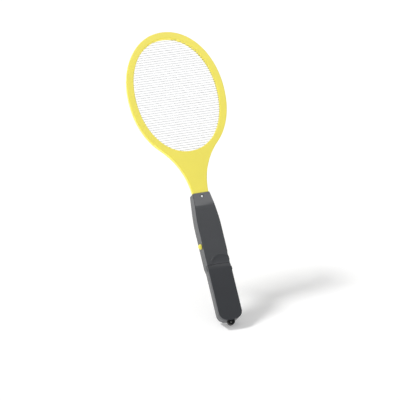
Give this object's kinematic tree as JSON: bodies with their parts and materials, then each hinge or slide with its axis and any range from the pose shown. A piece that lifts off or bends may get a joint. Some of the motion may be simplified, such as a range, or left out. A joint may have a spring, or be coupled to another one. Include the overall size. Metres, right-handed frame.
{
  "type": "electric fly swatter",
  "caption": "Racket-shaped electric fly swatter: oval yellow rim with a grid of parallel wires, flat charcoal battery handle, side push button, sliding battery cover and hanging eye.",
  "frame": {"origin": "below the middle of the butt, at the height of the hanging eye's lowest point, on the middle plane of the wires", "axes": "+Z along the handle from the butt to the top of the head; the front of the handle, with the battery cover and indicator, faces -Y; +X to the right seen from the front, so the push button is on the -X side"},
  "size_m": [0.1502, 0.0185, 0.4651],
  "materials": {
    "head_plastic": "moulded ABS, satin gloss, yellow",
    "shell_plastic": "moulded ABS, fine spark texture, charcoal",
    "cover_plastic": "moulded ABS, fine spark texture, dark charcoal",
    "eye_plastic": "moulded nylon, black",
    "button_plastic": "moulded ABS, gloss, yellow",
    "grid_wire": "drawn stainless wire",
    "busbar_metal": "rolled strip, plain",
    "screw_steel": "zinc plated",
    "switch_plastic": "moulded, black",
    "plunger_plastic": "moulded, off-white",
    "board_laminate": "solder-masked laminate, green",
    "ferrite": "pressed ferrite, dark grey",
    "winding": "enamelled winding wire",
    "film_capacitor": "dipped epoxy, brown",
    "ceramic_capacitor": "dipped epoxy, blue",
    "black_epoxy": "moulded epoxy, black",
    "resistor_lacquer": "lacquered, beige",
    "led_lens": "clear epoxy lens",
    "lead_red": "PVC insulation, red",
    "lead_white": "PVC insulation, white",
    "lead_black": "PVC insulation, black",
    "cell_sleeve": "shrunk plain sleeve on a cell can",
    "contact_metal": "nickel-plated spring steel"
  },
  "bodies": {
    "handle": {"head_frame_front": "head_plastic", "head_frame_back": "head_plastic", "frame_screws": "screw_steel", "grid_wires_positive": "grid_wire", "grid_wires_negative": "grid_wire", "busbar_left": "busbar_metal", "busbar_right": "busbar_metal", "handle_shell_front": "shell_plastic", "handle_shell_back": "shell_plastic", "handle_screws": "screw_steel", "hanging_eye": "eye_plastic", "switch_body": "switch_plastic", "circuit_board": "board_laminate", "transformer_core": "ferrite", "transformer_coil": "winding", "storage_capacitor": "film_capacitor", "multiplier_capacitors": "ceramic_capacitor", "rectifier_diodes": "black_epoxy", "resistors": "resistor_lacquer", "power_transistor": "black_epoxy", "indicator_led": "led_lens", "led_leads": "contact_metal", "hv_lead_positive": "lead_red", "hv_lead_negative": "lead_white", "battery_left": "cell_sleeve", "battery_right": "cell_sleeve", "contact_plate": "contact_metal", "contact_spring": "contact_metal", "battery_bridge": "contact_metal", "battery_lead_positive": "lead_red", "battery_lead_negative": "lead_black"},
    "button": {"push_button": "button_plastic"},
    "plunger": {"switch_plunger": "plunger_plastic"},
    "cover": {"battery_cover": "cover_plastic"}
  },
  "joints": [
    {"name": "button_press", "type": "slide", "parent": "handle", "child": "button", "axis": [1, 0, 0], "range_m": [0, 0.0008], "stiffness_N_per_m": 1500, "springref_m": -0.0003},
    {"name": "plunger_press", "type": "slide", "parent": "handle", "child": "plunger", "axis": [1, 0, 0], "range_m": [0, 0.0008]},
    {"name": "cover_slide", "type": "slide", "parent": "handle", "child": "cover", "axis": [0, 0, -1], "range_m": [0, 0.062]}
  ],
  "couplings": [
    {"joint": "plunger_press", "follows": "button_press", "ratio": 1}
  ]
}
